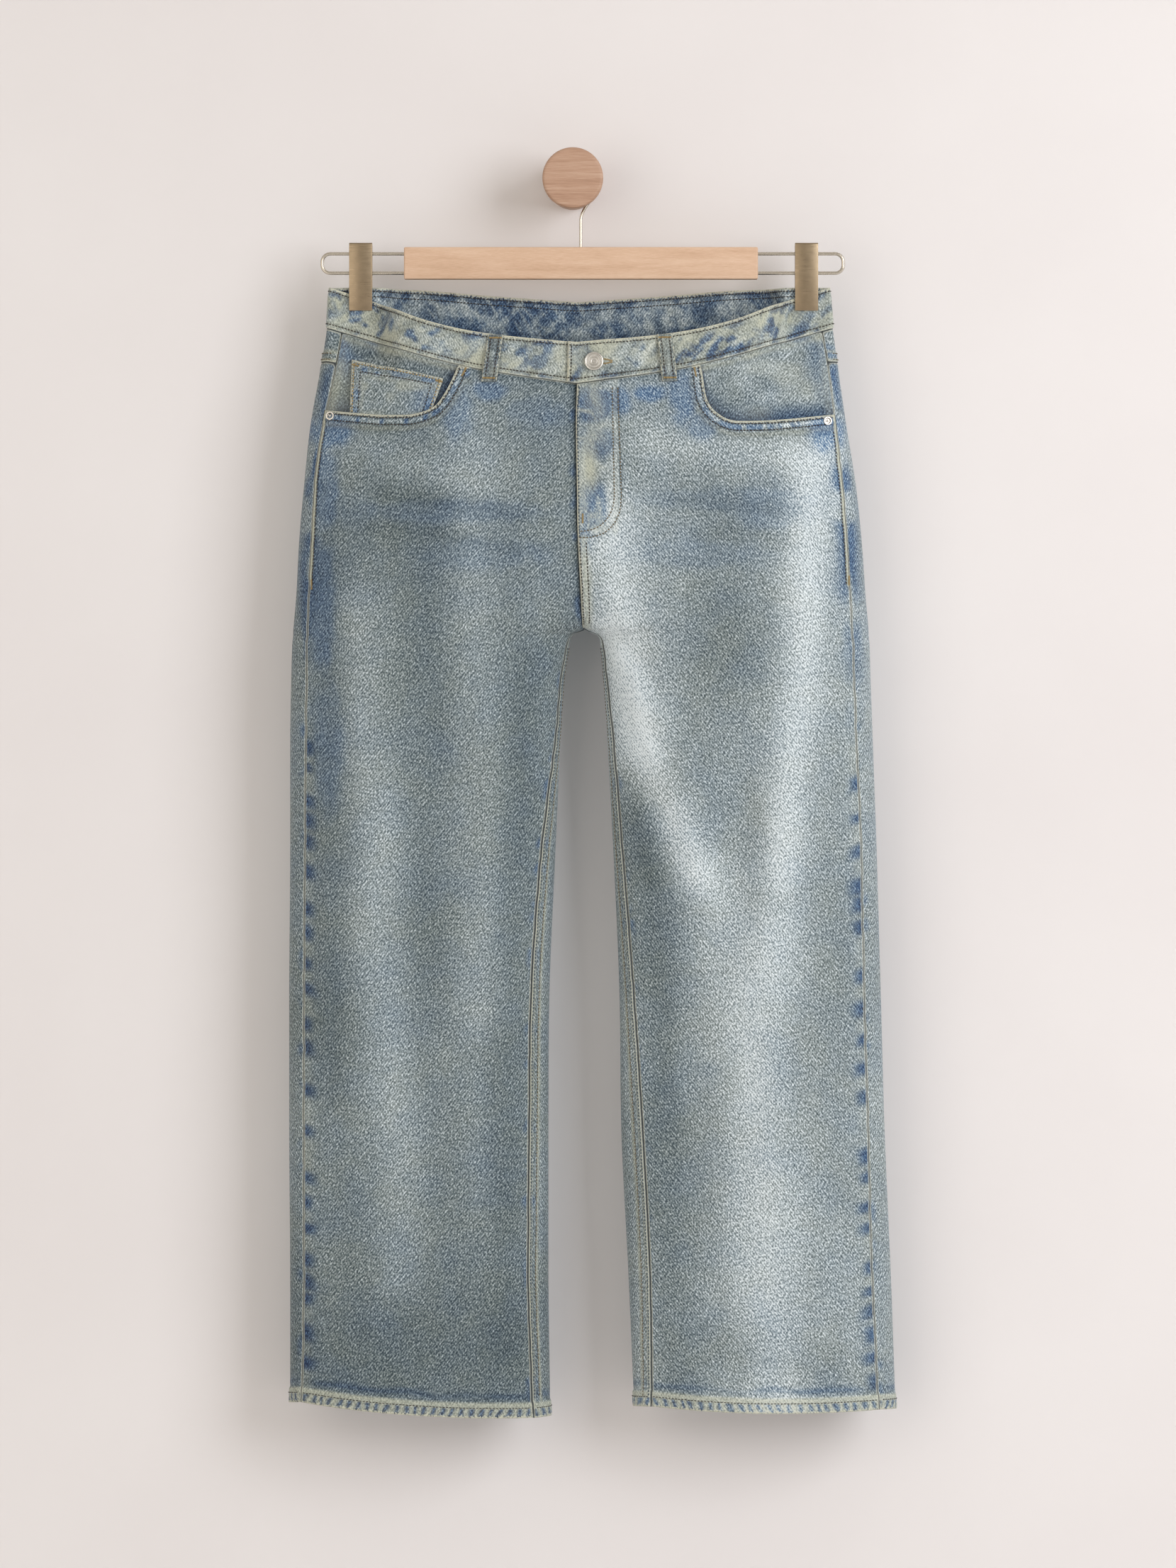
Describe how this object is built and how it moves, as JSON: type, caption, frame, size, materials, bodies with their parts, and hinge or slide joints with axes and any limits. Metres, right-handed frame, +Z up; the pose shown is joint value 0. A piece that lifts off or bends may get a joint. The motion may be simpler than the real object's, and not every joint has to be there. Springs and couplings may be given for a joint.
{
  "type": "baggy jeans on a wooden clip hanger and wall peg",
  "caption": "Baggy five-pocket denim jeans held flat by their waistband from a wooden clip hanger on a round wall peg.",
  "frame": {"origin": "centre of the wall peg's back face, on the wall", "axes": "+Z up, +Y into the wall, +X to the right as seen from the front of the jeans, which faces -Y"},
  "size_m": [0.5972, 0.1214, 1.25],
  "materials": {
    "denim": "washed twill denim, matt",
    "button_metal": "nickel-plated, worn",
    "clip_metal": "brushed antique brass",
    "wire_metal": "nickel-plated wire",
    "bar_wood": "pale beech, clear matt lacquer",
    "peg_wood": "oiled oak, end grain"
  },
  "bodies": {
    "root": {"back_left": "denim", "back_pocket_left": "denim", "back_pocket_right": "denim", "back_right": "denim", "button": "button_metal", "clip_left": "clip_metal", "clip_right": "clip_metal", "coin_pocket": "denim", "front_left": "denim", "front_right": "denim", "hanger_bar": "bar_wood", "hanger_hook": "wire_metal", "hanger_wire_left": "wire_metal", "hanger_wire_right": "wire_metal", "loop_back": "denim", "loop_front_left": "denim", "loop_front_right": "denim", "loop_side_left": "denim", "loop_side_right": "denim", "pocket_facing_left": "denim", "pocket_facing_right": "denim", "rivet_left": "button_metal", "rivet_right": "button_metal", "waistband": "denim", "wall_peg": "peg_wood", "yoke_left": "denim", "yoke_right": "denim"}
  },
  "joints": []
}
